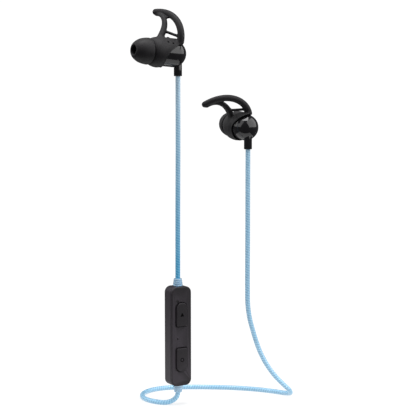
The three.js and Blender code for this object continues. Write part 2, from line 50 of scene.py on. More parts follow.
# ---------- driving dimensions, in millimetres ----------
BALL_RADIUS = 6.85
SHELL_WALL = 0.9
NECK_RADIUS = 6.8
NECK_END = 9.0
NOZZLE_RADIUS = 2.45
NOZZLE_START = 12.3
NOZZLE_END = 20.2
NOZZLE_BORE = 1.6
TIP_BACK = 14.6
TIP_MOUTH = 23.4
SLEEVE_INNER = 7.15
SLEEVE_FRONT = 14.2
STEM_RADIUS = 2.1
STEM_OFFSET = 3.1
STEM_TOP = -4.0
STEM_BOTTOM = -11.3
CORD_DIAMETER = 2.5
BOX_WIDTH = 11.8
BOX_DEPTH = 7.6
BOX_HEIGHT = 52.1
BOX_CORNER = 3.2
BOX_RIM = 0.5
BOX_BOTTOM = 10.8
BOX_WALL = 1.0
COVER_THICKNESS = 1.2
BUTTON_WIDTH = 6.4
BUTTON_LENGTH = 12.3
BUTTON_RISE = 0.8
RELIEF_LENGTH = 3.9
RELIEF_NECK = 1.6
GAP = 0.3
SEAM_NORMAL = Vector((-0.903, 0.09, -0.42)).normalized()
SLEEVE_TURN = {"left": 0.0, "right": math.radians(-30)}

# ---------- local frames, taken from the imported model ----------
JOINTS = {joint["name"]: joint for joint in frame["joints"]}
MOUNTS = {mount["name"]: mount for mount in frame["record"]["mounts"]}


def local_frame(origin, x, y, z):
    """The matrix from millimetres along x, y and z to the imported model's metres."""
    turn = Matrix((x, y, z)).transposed().to_4x4()
    return Matrix.Translation(origin) @ turn @ Matrix.Scale(MM, 4)


def bud_frames(side):
    """A bud's level frame, its nozzle's frame and its sleeve's, all at the middle of its ball."""
    joint = JOINTS[f"{side}_fin_turn"]
    centre = Vector(joint["pos_m"])
    along = Vector(joint["axis"]).normalized()
    level = Vector((along.x, along.y, 0)).normalized()
    across = UP.cross(level)
    bud = local_frame(centre, level, across, UP)
    nozzle = local_frame(centre, along, across, along.cross(across))
    mirror = Matrix.Scale(-1 if side == "right" else 1, 4, (0, 1, 0))
    turn = Matrix.Rotation(SLEEVE_TURN[side], 4, "X")
    return bud @ mirror, nozzle @ mirror, nozzle @ turn @ mirror


BOX_BACK_NORMAL = Vector(MOUNTS["box_back"]["axis"]).normalized()
BOX_BASE = (
    Vector(MOUNTS["box_back"]["pos_m"])
    - BOX_BACK_NORMAL * (BOX_DEPTH / 2 * MM)
    - UP * (BOX_HEIGHT / 2 * MM)
)
BOX = local_frame(BOX_BASE, BOX_BACK_NORMAL.cross(UP), BOX_BACK_NORMAL, UP)
GROUND = BOX_BASE - UP * (BOX_BOTTOM * MM)  # the point on the floor under the box

# ---------- cord routes, in millimetres from GROUND ----------
LEFT_CORD = [
    (0.35, 0, 170.7),
    (0.3, 0, 135),
    (0.1, 0, 100),
    (0, 0, 67.1),
]
REST = CORD_DIAMETER / 2  # height of a cord that lies on the floor
RIGHT_CORD = [
    (0, 0, 6.6),
    (-0.5, -0.1, 4.7),
    (-2, -0.3, 2.9),
    (-4.4, -0.6, 1.7),
    (-7.4, -0.5, REST),
    (-11.2, 0.8, REST),
    (-15.5, 4.2, REST),
    (-18.6, 9, REST),
    (-19.6, 15, REST),
    (-18.2, 21, REST),
    (-14.5, 26.2, REST),
    (-8.5, 30, REST),
    (0, 31.8, REST),
    (9, 32.2, REST),
    (18, 31.8, REST),
    (26, 31, REST),
    (35, 29.2, REST),
    (43.5, 26.4, REST),
    (51, 22.8, REST),
    (56.8, 18.4, 1.5),
    (59.6, 13.8, 2.6),
    (58.8, 10.3, 5.2),
    (55.4, 9.8, 8.6),
    (51.6, 10.4, 12.4),
    (47.6, 10.8, 17.6),
    (44.2, 11, 23.6),
    (41.6, 11, 30),
    (39.5, 11, 36.8),
    (37.7, 11, 43.6),
    (36.7, 11, 51),
    (36.5, 11, 60),
    (36.5, 11, 84),
    (36.5, 11, 108),
    (36.5, 11, 132.9),
]


# ---------- camera, light and floor ----------
VIEW_ANGLE = math.radians(19.7)
SENSOR_WIDTH = 36  # millimetres
SOFTBOX_DISTANCE = 0.7  # metres
WHITE = 1.05  # a little over 1, so that the background is plain white


def add_camera():
    target = GROUND + Vector((16.7, 0, 102.45)) * MM
    distance = 0.62
    height = 0.0638  # above the target
    data = bpy.data.cameras.new("camera")
    data.sensor_width = SENSOR_WIDTH
    data.lens = SENSOR_WIDTH / 2 / math.tan(VIEW_ANGLE / 2)
    camera = bpy.data.objects.new("camera", data)
    camera.location = target + Vector((0, -distance, height))
    camera.rotation_mode = "QUATERNION"
    camera.rotation_quaternion = (target - camera.location).to_track_quat("-Z", "Y")
    bpy.context.scene.collection.objects.link(camera)
    bpy.context.scene.camera = camera


def add_softbox(name, direction, width, height, radiance):
    """A rectangular light that faces the middle of the set."""
    middle = GROUND + Vector((0.017, 0, 0.12))
    data = bpy.data.lights.new(name, "AREA")
    data.shape = "RECTANGLE"
    data.size = width
    data.size_y = height
    data.energy = radiance * math.pi * width * height
    light = bpy.data.objects.new(name, data)
    light.location = middle + Vector(direction).normalized() * SOFTBOX_DISTANCE
    light.rotation_mode = "QUATERNION"
    light.rotation_quaternion = (middle - light.location).to_track_quat("-Z", "Y")
    light.visible_camera = False
    bpy.context.scene.collection.objects.link(light)


def add_world():
    """White where the camera looks, dim for what the object reflects."""
    world = bpy.data.worlds.new("studio")
    world.use_nodes = True
    tree = world.node_tree
    tree.nodes.clear()
    output = tree.nodes.new("ShaderNodeOutputWorld")
    mix = tree.nodes.new("ShaderNodeMixShader")
    path = tree.nodes.new("ShaderNodeLightPath")
    room = tree.nodes.new("ShaderNodeBackground")
    room.inputs["Color"].default_value = (0.1, 0.1, 0.104, 1)
    white = tree.nodes.new("ShaderNodeBackground")
    white.inputs["Color"].default_value = (1, 1, 1, 1)
    white.inputs["Strength"].default_value = WHITE
    tree.links.new(path.outputs["Is Camera Ray"], mix.inputs["Fac"])
    tree.links.new(room.outputs[0], mix.inputs[1])
    tree.links.new(white.outputs[0], mix.inputs[2])
    tree.links.new(mix.outputs[0], output.inputs["Surface"])
    bpy.context.scene.world = world


def add_floor():
    """A pale table top that brightens to white away from the object."""
    width, depth = 0.32, 0.26
    forward = 0.1  # how far it reaches towards the camera
    bpy.ops.mesh.primitive_plane_add(size=1, location=GROUND)
    floor = bpy.context.active_object
    floor.name = "floor"
    floor.data.transform(Matrix.Diagonal((width, depth, 1, 1)))
    floor.data.transform(Matrix.Translation((0, depth / 2 - forward, 0)))
    look = Look("floor", {"Base Color": (0.93, 0.93, 0.93, 1), "Roughness": 0.6})
    place = look.node("ShaderNodeTexCoord").outputs["Object"]
    length = look.node("ShaderNodeVectorMath", {0: place}, operation="LENGTH")
    far = look.ramp(length.outputs["Value"], [(0.0, 0.55), (0.1, 1.0)])
    glow = look.node("ShaderNodeEmission", {"Strength": WHITE})
    mix = look.node(
        "ShaderNodeMixShader", {0: far, 1: look.shader.outputs[0], 2: glow.outputs[0]}
    )
    look.output(mix.outputs[0])
    floor.data.materials.append(look.material)


# ---------- materials ----------
def srgb(red, green, blue):
    """A screen colour from 0 to 255 as the linear colour that a shader takes."""
    shares = [value / 255 for value in (red, green, blue)]
    return tuple(s / 12.92 if s <= 0.04045 else ((s + 0.055) / 1.055) ** 2.4 for s in shares)


class Look:
    """A Principled material, with short calls for the nodes that feed it."""

    def __init__(self, name, sockets):
        self.material = bpy.data.materials.new(name)
        self.material.use_nodes = True
        self.tree = self.material.node_tree
        self.shader = self.tree.nodes["Principled BSDF"]
        for socket, value in sockets.items():
            self.shader.inputs[socket].default_value = value

    def node(self, kind, inputs=None, **settings):
        made = self.tree.nodes.new(kind)
        for name, value in settings.items():
            setattr(made, name, value)
        for name, value in (inputs or {}).items():
            if isinstance(value, bpy.types.NodeSocket):
                self.tree.links.new(value, made.inputs[name])
            else:
                made.inputs[name].default_value = value
        return made

    def noise(self, size, detail=3.0, stretch=(1, 1, 1)):
        """Cloudy noise whose features are about `size` millimetres."""
        place = self.node("ShaderNodeTexCoord").outputs["Object"]
        stretched = self.node("ShaderNodeMapping", {"Vector": place, "Scale": stretch})
        noise = self.node(
            "ShaderNodeTexNoise",
            {"Vector": stretched.outputs[0], "Scale": 1 / (size * MM), "Detail": detail},
        )
        return noise.outputs["Fac"]

    def ramp(self, source, stops):
        """Maps a value from 0 to 1 to greys or colours at the given stops."""
        made = self.node("ShaderNodeValToRGB", {"Fac": source})
        elements = made.color_ramp.elements
        while len(elements) < len(stops):
            elements.new(0.5)
        for element, (place, value) in zip(elements, stops):
            element.position = place
            colour = value if hasattr(value, "__len__") else (value,) * 3
            element.color = (*colour, 1)
        return made.outputs["Color"]

    def math(self, operation, first, second=0.0):
        return self.node("ShaderNodeMath", {0: first, 1: second}, operation=operation).outputs[0]

    def mix(self, share, first, second):
        made = self.node("ShaderNodeMix", {0: share}, data_type="RGBA")
        for index, value in ((6, first), (7, second)):
            if isinstance(value, bpy.types.NodeSocket):
                self.tree.links.new(value, made.inputs[index])
            else:
                made.inputs[index].default_value = (*value, 1)
        return made.outputs[2]

    def feed(self, socket, source):
        self.tree.links.new(source, self.shader.inputs[socket])

    def bump(self, height, depth, strength=1.0):
        """Bump of `depth` millimetres."""
        made = self.node(
            "ShaderNodeBump", {"Height": height, "Distance": depth * MM, "Strength": strength}
        )
        self.feed("Normal", made.outputs[0])

    def output(self, shader):
        self.tree.links.new(shader, self.tree.nodes["Material Output"].inputs["Surface"])


def gloss_black():
    look = Look("gloss_black", {"IOR": 1.48, "Coat Weight": 0.15, "Coat Roughness": 0.04})
    haze = look.noise(4.5, 4)
    dust = look.noise(0.35, 2)
    body = look.ramp(haze, [(0.3, (0.0055, 0.0052, 0.006)), (0.7, (0.010, 0.0095, 0.011))])
    look.feed("Base Color", body)
    specks = look.ramp(dust, [(0.62, 0.07), (0.8, 0.2)])
    smear = look.ramp(haze, [(0.35, 0.0), (0.75, 0.07)])
    look.feed("Roughness", look.math("ADD", specks, smear))
    look.bump(look.noise(2.5, 1), 0.004)
    return look.material


def silicone():
    look = Look("silicone", {"IOR": 1.43, "Specular IOR Level": 0.3, "Sheen Weight": 0.08})
    cloud = look.noise(3.2, 5)
    grain = look.noise(0.16, 3)
    body = look.ramp(cloud, [(0.3, srgb(16, 14, 17)), (0.7, srgb(23, 21, 24))])
    lint = look.ramp(look.noise(0.22, 1), [(0.74, 0.0), (0.8, 0.35)])
    look.feed("Base Color", look.mix(lint, body, srgb(62, 60, 64)))
    look.feed("Roughness", look.ramp(cloud, [(0.3, 0.5), (0.7, 0.66)]))
    look.bump(grain, 0.02, 0.6)
    return look.material


def box_plastic():
    look = Look("box_plastic", {"IOR": 1.5, "Specular IOR Level": 0.35})
    cloud = look.noise(7, 4)
    grain = look.noise(0.13, 4)
    body = look.ramp(cloud, [(0.3, srgb(19, 15, 20)), (0.7, srgb(25, 20, 26))])
    edge = look.node("ShaderNodeNewGeometry").outputs["Pointiness"]
    # Lighter on its sharpest convex edges, where Pointiness is high.
    lighter_edges = look.ramp(edge, [(0.515, 0.0), (0.56, 0.45)])
    look.feed("Base Color", look.mix(lighter_edges, body, srgb(66, 60, 68)))
    look.feed("Roughness", look.ramp(grain, [(0.3, 0.46), (0.7, 0.62)]))
    look.bump(grain, 0.02, 0.7)
    return look.material


def cord_jacket(name, shade, deepening):
    """A clear blue jacket over two twisted cores: the twist shows as slanted stripes.

    `shade` is its blue at the cord's start, from pale at 0 to deep at 1, and `deepening` is how
    much that changes for each millimetre along it."""
    look = Look(name, {"IOR": 1.46, "Coat Weight": 0.35, "Coat Roughness": 0.14})
    place = look.node("ShaderNodeUVMap", uv_map="route").outputs[0]
    parts = look.node("ShaderNodeSeparateXYZ", {0: place})
    along, around = parts.outputs[0], parts.outputs[1]
    turns = look.math("MULTIPLY", along, 1 / 1.35)
    twist = look.math("ADD", turns, look.math("MULTIPLY", around, 2))
    wave = look.math("PINGPONG", twist, 0.5)
    strand = look.ramp(look.math("MULTIPLY", wave, 2), [(0.1, 0.0), (0.62, 1.0)])
    here = look.math("ADD", look.math("MULTIPLY", along, deepening), shade)
    drift = look.math("ADD", here, look.math("MULTIPLY", look.noise(9, 3), 0.2))
    light = look.ramp(drift, [(0.1, srgb(196, 226, 244)), (1.0, srgb(104, 178, 214))])
    deep = look.ramp(drift, [(0.1, srgb(168, 204, 230)), (1.0, srgb(66, 148, 198))])
    look.feed("Base Color", look.mix(strand, deep, light))
    look.feed("Roughness", look.ramp(look.noise(0.5, 3), [(0.3, 0.2), (0.7, 0.36)]))
    look.bump(strand, 0.05, 0.5)
    return look.material


def relief_plastic():
    look = Look(
        "relief_plastic",
        {"IOR": 1.45, "Transmission Weight": 0.4, "Coat Weight": 0.4, "Coat Roughness": 0.1},
    )
    cloud = look.noise(2.4, 2)
    body = look.ramp(cloud, [(0.3, srgb(186, 224, 250)), (0.7, srgb(196, 230, 252))])
    look.feed("Base Color", body)
    look.feed("Roughness", look.ramp(cloud, [(0.3, 0.18), (0.7, 0.24)]))
    look.bump(look.noise(0.6, 2), 0.004, 0.4)
    return look.material


def steel():
    look = Look("steel", {"Metallic": 1.0})
    streaks = look.noise(0.5, 4, (1, 1, 12))
    body = look.ramp(streaks, [(0.3, (0.46, 0.46, 0.47)), (0.7, (0.62, 0.62, 0.63))])
    look.feed("Base Color", body)
    look.feed("Roughness", look.ramp(streaks, [(0.3, 0.22), (0.7, 0.4)]))
    look.bump(streaks, 0.004, 0.5)
    return look.material


def perforated_steel():
    look = Look("perforated_steel", {"Metallic": 0.9})
    place = look.node("ShaderNodeTexCoord").outputs["Object"]
    pattern = {"Vector": place, "Scale": 3200, "Randomness": 0.15}
    cells = look.node("ShaderNodeTexVoronoi", pattern)
    holes = look.ramp(cells.outputs["Distance"], [(0.3, 0.0), (0.38, 1.0)])
    # The holes are painted near black: painted shade in them.
    look.feed("Base Color", look.mix(holes, (0.004, 0.004, 0.004), (0.1, 0.1, 0.105)))
    look.feed("Roughness", look.ramp(look.noise(0.4), [(0.3, 0.3), (0.7, 0.5)]))
    look.bump(holes, 0.05)
    return look.material


def moulded(name, dark, light, roughness, grain_size=0.4, metallic=0.0, specular=0.5):
    """A small hidden or trim part: cloudy colour, uneven gloss and a fine grain."""
    look = Look(name, {"Metallic": metallic, "Specular IOR Level": specular})
    cloud = look.noise(2.5, 4)
    grain = look.noise(grain_size, 3)
    look.feed("Base Color", look.ramp(cloud, [(0.3, dark), (0.7, light)]))
    look.feed("Roughness", look.ramp(grain, [(0.3, roughness - 0.08), (0.7, roughness + 0.1)]))
    look.bump(grain, 0.01, 0.5)
    return look.material


# ---------- mesh tools ----------
def add_mesh(name, vertices, faces, matrix, material, crease=35, uv=None):
    """A smooth-shaded mesh whose edges sharper than `crease` degrees stay sharp."""
    mesh = bpy.data.meshes.new(name)
    mesh.from_pydata([tuple(v) for v in vertices], [], [tuple(f) for f in faces])
    if uv:
        layer = mesh.uv_layers.new(name="route")
        for loop, corner in zip(layer.data, uv):
            loop.uv = corner
    mesh.transform(matrix)
    if matrix.determinant() < 0:
        mesh.flip_normals()
    piece = bpy.data.objects.new(name, mesh)
    bpy.context.scene.collection.objects.link(piece)
    soften(piece, crease)
    if material:
        mesh.materials.append(material)
    return piece


def soften(piece, crease):
    """Smooth shading, apart from the edges sharper than `crease` degrees."""
    shape = bmesh.new()
    shape.from_mesh(piece.data)
    limit = math.radians(crease)
    for edge in shape.edges:
        edge.smooth = len(edge.link_faces) == 2 and edge.calc_face_angle() < limit
    for face in shape.faces:
        face.smooth = True
    shape.to_mesh(piece.data)
    shape.free()


def rounded_profile(corners, steps=6):
    """Points of a polyline whose corners (x, y, radius) are rounded by arcs."""
    points = []
    for index, (x, y, radius) in enumerate(corners):
        here = Vector((x, y))
        if radius == 0 or index in (0, len(corners) - 1):
            points.append(here)
            continue
        before = (Vector(corners[index - 1][:2]) - here).normalized()
        after = (Vector(corners[index + 1][:2]) - here).normalized()
        half = before.angle(after) / 2
        reach = radius / math.tan(half)
        centre = here + (before + after).normalized() * (radius / math.sin(half))
        start, end = here + before * reach - centre, here + after * reach - centre
        for step in range(steps + 1):
            turn = Matrix.Rotation(start.angle_signed(end) * -step / steps, 2)
            points.append(centre + turn @ start)
    return points


def smooth_points(points, per_span=8):
    """Points along a centripetal Catmull-Rom curve through the given points."""
    knots = [np.array(p, float) for p in points]
    knots = [2 * knots[0] - knots[1], *knots, 2 * knots[-1] - knots[-2]]
    made = []
    for a, b, c, d in zip(knots, knots[1:], knots[2:], knots[3:]):
        gaps = [max(np.linalg.norm(q - p) ** 0.5, 1e-6) for p, q in ((a, b), (b, c), (c, d))]
        first, middle, last = gaps
        leave = (b - a) / first - (c - a) / (first + middle) + (c - b) / middle
        reach = (c - b) / middle - (d - b) / (middle + last) + (d - c) / last
        leave, reach = leave * middle, reach * middle
        for step in range(per_span):
            t = step / per_span
            made.append(
                b
                + leave * t
                + (3 * (c - b) - 2 * leave - reach) * t**2
                + (2 * (b - c) + leave + reach) * t**3
            )
    made.append(knots[-2])
    return np.array(made)


def turned(profile, segments=96):
    """Vertices and faces of (along, radius) points turned about X: a closed loop, or from the axis."""
    vertices, rings = [], []
    for along, radius in profile:
        if radius < 1e-6:
            rings.append([len(vertices)] * segments)
            vertices.append((along, 0, 0))
            continue
        rings.append(list(range(len(vertices), len(vertices) + segments)))
        for step in range(segments):
            angle = 2 * math.pi * step / segments
            vertices.append((along, radius * math.cos(angle), radius * math.sin(angle)))
    on_axis = profile[0][1] < 1e-6
    pairs = list(zip(rings, rings[1:])) + ([] if on_axis else [(rings[-1], rings[0])])
    faces = []
    for here, there in pairs:
        for step in range(segments):
            after = (step + 1) % segments
            face = [here[step], here[after], there[after], there[step]]
            face = [v for i, v in enumerate(face) if v != face[i - 1]]
            if len(face) > 2:
                faces.append(face)
    return vertices, faces


def add_turned(name, profile, matrix, material, segments=96, crease=35):
    piece = add_mesh(name, *turned(profile, segments), matrix, material, crease)
    face_outward(piece)
    return piece


def face_outward(piece):
    """Merges the points that coincide and turns every face outwards."""
    shape = bmesh.new()
    shape.from_mesh(piece.data)
    bmesh.ops.remove_doubles(shape, verts=shape.verts, dist=1e-7)
    bmesh.ops.recalc_face_normals(shape, faces=shape.faces)
    shape.to_mesh(piece.data)
    shape.free()


def combine(piece, operation, *tools, crease=35, keep_tool_material=False):
    """Cuts or joins the tools and removes them; with the last flag set, the cut faces show the tool's own
    material.
    """
    for tool in tools:
        modifier = piece.modifiers.new("combine", "BOOLEAN")
        modifier.operation = operation
        modifier.solver = "EXACT"
        modifier.object = tool
        modifier.material_mode = "TRANSFER" if keep_tool_material else "INDEX"
    bpy.context.view_layer.update()
    graph = bpy.context.evaluated_depsgraph_get()
    made = bpy.data.meshes.new_from_object(piece.evaluated_get(graph))
    piece.modifiers.clear()
    piece.data = made
    for tool in tools:
        bpy.data.objects.remove(tool)
    soften(piece, crease)


def outline(width, height, radii, inset=0.0, steps=8):
    """Points (x, z) of a rectangle with rounded corners, anticlockwise from the lower left."""
    x, z = width / 2 - inset, height / 2 - inset
    points = []
    corners = [(-1, -1, 180), (1, -1, 270), (1, 1, 0), (-1, 1, 90)]
    for (sx, sz, start), radius in zip(corners, radii):
        r = max(radius - inset, 0.05)
        for step in range(steps + 1):
            angle = math.radians(start + 90 * step / steps)
            corner = sx * (x - r), sz * (z - r)
            points.append((corner[0] + r * math.cos(angle), corner[1] + r * math.sin(angle)))
    return points


def add_loft(name, shape, rows, matrix, material, centre=(0, 0), crease=35):
    """A solid with outline shape(inset) at each (y, inset) row, closed at both ends."""
    vertices, faces = [], []
    for y, inset in rows:
        vertices += [(x + centre[0], y, z + centre[1]) for x, z in shape(inset)]
    count = len(vertices) // len(rows)
    for row in range(len(rows) - 1):
        here, there = row * count, (row + 1) * count
        for j in range(count):
            k = (j + 1) % count
            faces.append((here + j, here + k, there + k, there + j))
    faces.append(range(count))
    faces.append(range((len(rows) - 1) * count, len(rows) * count))
    piece = add_mesh(name, vertices, faces, matrix, material, crease)
    face_outward(piece)
    return piece


def rim_rows(start, end, radius, steps=6):
    """Rows (y, inset) of a quarter round, from a flat face at `start` to a side that ends at `end`."""
    sign = 1 if end > start else -1
    rows = []
    for step in range(steps + 1):
        angle = math.pi / 2 * step / steps
        y = start + sign * radius * (1 - math.cos(angle))
        rows.append((y, radius * (1 - math.sin(angle))))
    return rows + [(end, 0.0)]


def rod_tool(matrix, axis, radius, length, place, segments=48):
    """A cylinder to cut with, along the local y or z axis."""
    quarter = math.pi / 2
    spin = {"y": Matrix.Rotation(quarter, 4, "Z"), "z": Matrix.Rotation(-quarter, 4, "Y")}
    profile = [(-length / 2, 0), (-length / 2, radius), (length / 2, radius), (length / 2, 0)]
    place = matrix @ Matrix.Translation(place) @ spin[axis]
    return add_turned("tool", profile, place, None, segments)


def sweep(name, path, radius, matrix, material, sides=20):
    """A round tube along a path, with a `route` map: millimetres along it, and turns round it."""
    path = [Vector(p) for p in path]
    steps = [(b - a).normalized() for a, b in zip(path, path[1:])]
    between = [(a + b).normalized() for a, b in zip(steps, steps[1:])]
    tangents = [steps[0], *between, steps[-1]]
    side = tangents[0].orthogonal().normalized()
    vertices, faces, uv, travelled = [], [], [], [0.0]
    for index, (point, tangent) in enumerate(zip(path, tangents)):
        side = (side - tangent * side.dot(tangent)).normalized()
        other = tangent.cross(side)
        if index:
            travelled.append(travelled[-1] + (point - path[index - 1]).length)
        for step in range(sides):
            angle = 2 * math.pi * step / sides
            vertices.append(point + (side * math.cos(angle) + other * math.sin(angle)) * radius)
    for row in range(len(path) - 1):
        for j in range(sides):
            k = (j + 1) % sides
            here, there = row * sides, (row + 1) * sides
            faces.append((here + j, here + k, there + k, there + j))
            a, b = travelled[row], travelled[row + 1]
            uv += [(a, j / sides), (a, (j + 1) / sides), (b, (j + 1) / sides), (b, j / sides)]
    for start, flip in ((0, True), ((len(path) - 1) * sides, False)):
        ring = list(range(start, start + sides))
        faces.append(ring[::-1] if flip else ring)
        uv += [(travelled[-1] if start else 0.0, 0.0)] * sides
    return add_mesh(name, vertices, faces, matrix, material, 50, uv)


def finish_piece(piece, body, slot, *nodes):
    """Says which body the piece rides on and hides the CAD nodes it stands for; the slot is not used."""
    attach(piece, body)
    if nodes:
        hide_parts(*nodes)


# ---------- cords ----------
def add_cord(side, route, material):
    """The jacket along its route; both its ends run on a little way into their reliefs."""
    tuck = 1.2
    path = smooth_points(route, 10)
    first, last = path[0] - path[1], path[-1] - path[-2]
    path = np.vstack([path[0] + first / np.linalg.norm(first) * tuck, path,
                      path[-1] + last / np.linalg.norm(last) * tuck])
    to_frame = Matrix.Translation(GROUND) @ Matrix.Scale(MM, 4)
    piece = sweep(f"{side}_cord_jacket", path, CORD_DIAMETER / 2, to_frame, material)
    finish_piece(piece, "headset", "cord_jacket", f"cord_{side}")


# ---------- distance fields, for the moulded silicone ----------
def blend_solids(first, second, reach):
    """The union of two distance fields, with a fillet of about `reach`."""
    share = np.clip(0.5 + 0.5 * (second - first) / reach, 0, 1)
    return second + (first - second) * share - reach * share * (1 - share)


def carve(solid, tool, reach):
    """The solid with the tool cut out of it, its new edge rounded by about `reach`."""
    return -blend_solids(-solid, tool, reach)


def limb_field(places, path, root, end):
    """Distance to a round limb along a path, whose radius changes evenly from root to end."""
    radii = np.linspace(root, end, len(path))
    field = np.full(len(places), 1e3, np.float32)
    for a, b, ra, rb in zip(path, path[1:], radii, radii[1:]):
        along = (b - a).astype(np.float32)
        share = np.clip((places - a.astype(np.float32)) @ along / (along @ along), 0, 1)
        rest = places - a.astype(np.float32) - share[:, None] * along
        field = np.minimum(field, np.sqrt((rest * rest).sum(1)) - (ra + share * (rb - ra)))
    return field


def profile_field(x, r, corners):
    """Signed distance to a closed outline in the plane of the axis: negative inside."""
    nearest = np.full(x.shape, 1e6, np.float32)
    inside = np.zeros(x.shape, bool)
    for (ax, ay), (bx, by) in zip(corners, [*corners[1:], corners[0]]):
        ex, ey = bx - ax, by - ay
        share = np.clip(((x - ax) * ex + (r - ay) * ey) / max(ex * ex + ey * ey, 1e-9), 0, 1)
        nearest = np.minimum(nearest, (x - ax - share * ex) ** 2 + (r - ay - share * ey) ** 2)
        if ay != by:
            crossing = ((ay > r) != (by > r)) & (x < ex * (r - ay) / ey + ax)
            inside ^= crossing
    return np.where(inside, -1, 1) * np.sqrt(nearest)


def surface_of(field, low, high, step):
    """Vertices and quads of a field's zero surface: one vertex in each cell that it crosses."""
    axes = [np.arange(a, b, step, dtype=np.float32) for a, b in zip(low, high)]
    grid = np.stack(np.meshgrid(*axes, indexing="ij"), -1)
    values = field(grid.reshape(-1, 3)).reshape(grid.shape[:3])
    cells = tuple(n - 1 for n in values.shape)
    total = np.zeros((*cells, 3), np.float32)
    hits = np.zeros(cells, np.int32)
    found = []
    for axis in range(3):
        start = values[tuple(slice(None, -1) if a == axis else slice(None) for a in range(3))]
        end = values[tuple(slice(1, None) if a == axis else slice(None) for a in range(3))]
        crossed = (start < 0) != (end < 0)
        where = np.argwhere(crossed)
        place = where.astype(np.float32)
        place[:, axis] += start[crossed] / (start[crossed] - end[crossed])
        ring = []
        for du, dv in ((0, 0), (-1, 0), (-1, -1), (0, -1)):
            cell = where.copy()
            cell[:, (axis + 1) % 3] += du
            cell[:, (axis + 2) % 3] += dv
            np.add.at(total, tuple(cell.T), place)
            np.add.at(hits, tuple(cell.T), 1)
            ring.append(cell)
        found.append((ring, start[crossed] < 0))
    used = hits > 0
    number = np.full(cells, -1)
    number[used] = np.arange(used.sum())
    quads = []
    for ring, outward in found:
        quad = np.stack([number[tuple(cell.T)] for cell in ring], 1)
        quads.append(np.where(outward[:, None], quad, quad[:, ::-1]))
    vertices = total[used] / hits[used][:, None] * step + np.array(low, np.float32)
    for _ in range(3):  # settle onto the true surface
        nudge = 0.02
        here = field(vertices)
        moved = [field(vertices + nudge * e) for e in np.eye(3, dtype=np.float32)]
        slope = np.stack([there - here for there in moved], 1)
        slope /= nudge
        size = np.maximum((slope * slope).sum(1, keepdims=True), 0.2)
        vertices = vertices - 0.8 * here[:, None] * slope / size
    return vertices, np.concatenate(quads)


# ---------- ear fin and its sleeve: the nozzle's frame, +X out of the nozzle, +Z up ----------
RIM_MIDDLE = 4.8  # how far forward of the ball's middle the slanted cut lies on average
RIM_SLANT = 3.2
RIM_RADIUS = 7.4  # the sleeve's outside at its thinned rim
THINNING = 0.4  # how much further out it lies away from the rim
RIM_FRONT_ANGLE = math.radians(130)  # where the cut is furthest forward
TONGUE_REACH = 7.4
TONGUE_ANGLE = math.radians(20)
FIN_SWELL = 0.92  # below 1, so that the limbs leave the sleeve steeply and level out


def fin_limb(root, end, turning, moving, points=25):
    """A spiral round the nozzle's axis from root to end, each (radius, degrees, along).

    `turning` and `moving` say how much of the last two's change is done at a share of the way.
    """
    share = np.linspace(0, 1, points)
    radius = root[0] + (end[0] - root[0]) * share**FIN_SWELL
    angle = np.radians(root[1] + (end[1] - root[1]) * turning(share))
    along = root[2] + (end[2] - root[2]) * moving(share)
    return np.stack([along, radius * np.sin(angle), radius * np.cos(angle)], 1)


def steady(share):
    return share


def late(share):
    return share**3


def early(share):
    return 1 - (1 - share) ** 3


FIN_RIB = fin_limb((7.5, 38, -1.2), (25.2, -32, 3.2), steady, late)
FIN_INNER = fin_limb((7.4, -12, 7.2), (24, -32, 2.8), late, early)
SLEEVE_WALL = [
    (-8, SLEEVE_INNER),
    (-8, 7.72),
    (4, 7.8),
    (9, 7.76),
    (10.7, 7.6),
    (12.0, 7.28),
    (13.1, 6.82),
    (13.8, 6.3),
    (SLEEVE_FRONT, 5.7),
    (SLEEVE_FRONT, 3.3),
    (13.0, 3.3),
    (12.8, 5.2),
    (11, 6.9),
    (9.6, SLEEVE_INNER),
]


def rim_at(angle):
    """How far forward the rim lies at an angle from the top: a slant, and a tongue under the fin."""
    slant = RIM_SLANT * np.cos(angle - RIM_FRONT_ANGLE)
    tongue = TONGUE_REACH * np.maximum(0, np.cos(angle - TONGUE_ANGLE)) ** 2
    return RIM_MIDDLE + slant - tongue


def along_path(path, share):
    """The point at a share of a path's points."""
    place = share * (len(path) - 1)
    index = min(int(place), len(path) - 2)
    return path[index] + (path[index + 1] - path[index]) * (place - index)


def ball_field(places, middle, radius):
    return np.sqrt(((places - np.array(middle, np.float32)) ** 2).sum(1)) - radius


def fin_field(places):
    x, y, z = places.T
    radius = np.sqrt(y * y + z * z)
    past_rim = (rim_at(np.arctan2(y, z)) - x) * 0.8
    thinned = radius - (RIM_RADIUS + THINNING * np.clip(-past_rim / 2.5, 0, 1))
    wall = np.maximum(profile_field(x, radius, SLEEVE_WALL), thinned)
    lip = np.sqrt(past_rim**2 + (radius - 7.34) ** 2) - 0.2
    sleeve = blend_solids(np.maximum(wall, past_rim), lip, 0.15)

    web = np.full(len(places), 1e3, np.float32)
    for share in np.linspace(0, 1, 15):
        rib = along_path(FIN_RIB, 0.63 + 0.33 * share)
        inner = along_path(FIN_INNER, 0.64 + 0.34 * share)
        ruling = limb_field(places, np.array([rib, inner]), 0.5, 0.5)
        web = blend_solids(web, ruling, 0.35)
    strut = np.array([along_path(FIN_INNER, 0.22), along_path(FIN_RIB, 0.1)])
    fin = blend_solids(limb_field(places, FIN_RIB, 1.85, 1.6), web, 0.3)
    fin = blend_solids(fin, limb_field(places, FIN_INNER, 1.75, 1.1), 0.4)
    fin = blend_solids(fin, limb_field(places, strut, 0.7, 0.7), 0.7)
    made = blend_solids(sleeve, fin, 1.3)
    made = blend_solids(made, ball_field(places, (2.4, -1.6, 7.4), 0.95), 0.8)
    for dent in ((6.6, 5.6, 5.4), (3.8, 6.1, 4.8)):
        made = carve(made, ball_field(places, dent, 0.6), 0.3)
    bore = np.where(x < 9.6, SLEEVE_INNER - radius, -1.0)
    return np.maximum(made, bore)


